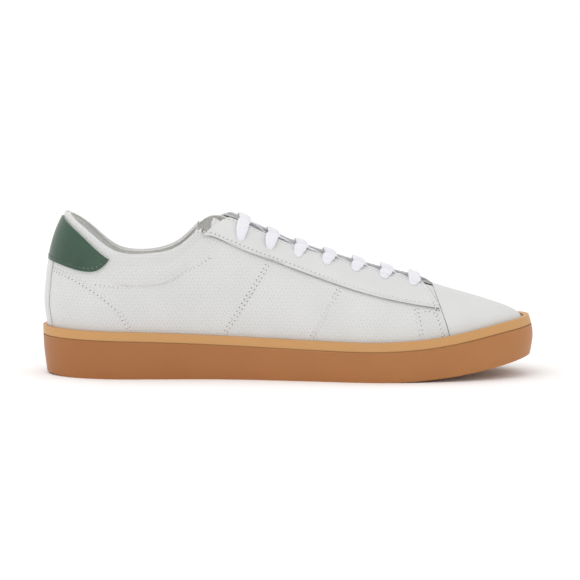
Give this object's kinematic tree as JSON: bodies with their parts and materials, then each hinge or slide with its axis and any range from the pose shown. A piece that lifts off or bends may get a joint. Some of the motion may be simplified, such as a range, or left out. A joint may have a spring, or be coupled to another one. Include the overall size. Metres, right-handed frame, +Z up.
{
  "type": "court shoe",
  "caption": "Left low-cut lace-up court shoe: padded leather upper with a contrast heel tab, flat laces and a spring-back tongue on a rubber cupsole.",
  "frame": {"origin": "centre of the outsole's bounding box on the ground", "axes": "+X to the toe, +Z up, -Y to the inner (big-toe) side of this left shoe"},
  "size_m": [0.299, 0.1048, 0.0984],
  "materials": {
    "gum_rubber": "satin",
    "midsole_foam": "matte",
    "board": "matte",
    "sockliner": "matte",
    "white_leather": "satin",
    "green_leather": "satin",
    "lining_textile": "matte",
    "soft_foam": "matte",
    "stiffener": "matte",
    "tape": "matte",
    "lace": "matte",
    "aglet": "gloss"
  },
  "bodies": {
    "shoe": {"cupsole": "gum_rubber", "midsole": "midsole_foam", "insole_board": "board", "sockliner": "sockliner", "quarter_inner": "white_leather", "quarter_outer": "white_leather", "vamp": "white_leather", "toe_puff": "stiffener", "vamp_lining": "lining_textile", "eyestay_inner": "white_leather", "eyestay_outer": "white_leather", "eyestay_tape_inner": "tape", "eyestay_tape_outer": "tape", "heel_tab": "green_leather", "back_strip": "white_leather", "heel_counter": "stiffener", "collar_foam": "soft_foam", "quarter_lining": "lining_textile", "shoelace": "lace", "aglet_inner": "aglet", "aglet_outer": "aglet"},
    "tongue": {"tongue_face": "white_leather", "tongue_foam": "soft_foam", "tongue_lining": "lining_textile"}
  },
  "joints": [
    {"name": "tongue_flex", "type": "hinge", "parent": "shoe", "child": "tongue", "pos_m": [0.10247, -0.0037, 0.044], "axis": [0, 1, 0], "range_deg": [-12, 0], "stiffness_Nm_per_rad": 0.3, "springref_deg": 5.73}
  ]
}
